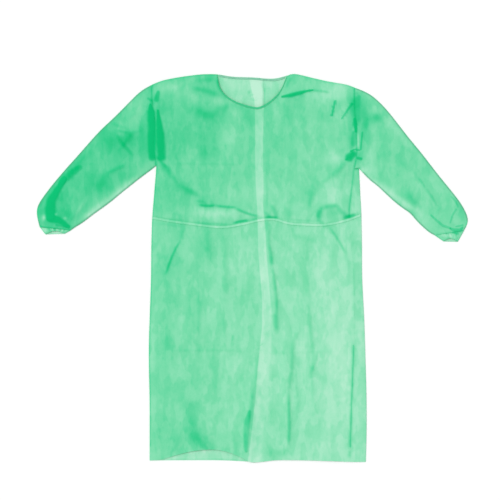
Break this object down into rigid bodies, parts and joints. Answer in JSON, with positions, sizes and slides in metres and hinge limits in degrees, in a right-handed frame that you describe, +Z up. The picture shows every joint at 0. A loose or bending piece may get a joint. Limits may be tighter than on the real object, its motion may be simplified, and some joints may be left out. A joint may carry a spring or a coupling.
{
  "type": "visitor gown",
  "caption": "Thin nonwoven visitor gown laid flat, with long sleeves, gathered elastic cuffs, a bound round neck, a waist tie and a back opening.",
  "frame": {"origin": "middle of the gown's footprint on the surface it lies on", "axes": "+Z up from the surface, out of the gown's front; +Y towards the neck; +X towards the cuff on the viewer's right"},
  "size_m": [1.3006, 1.1654, 0.0107],
  "materials": {
    "spunbond": "thin see-through mint green spunbond, matt, with a fine bonded dot",
    "binding": "folded spunbond tape in the same green, darker for its extra layers",
    "elastic": "spunbond gathered on a thin elastic thread, matt"
  },
  "bodies": {
    "root": {"front_panel": "spunbond", "back_panel_left": "spunbond", "back_panel_right": "spunbond", "sleeve_left": "spunbond", "sleeve_right": "spunbond", "cuff_band_left": "elastic", "cuff_band_right": "elastic", "neck_binding_front": "binding", "neck_binding_back_left": "binding", "neck_binding_back_right": "binding", "waist_tie_front": "binding", "waist_tail_left": "binding", "waist_tail_right": "binding"}
  },
  "joints": []
}
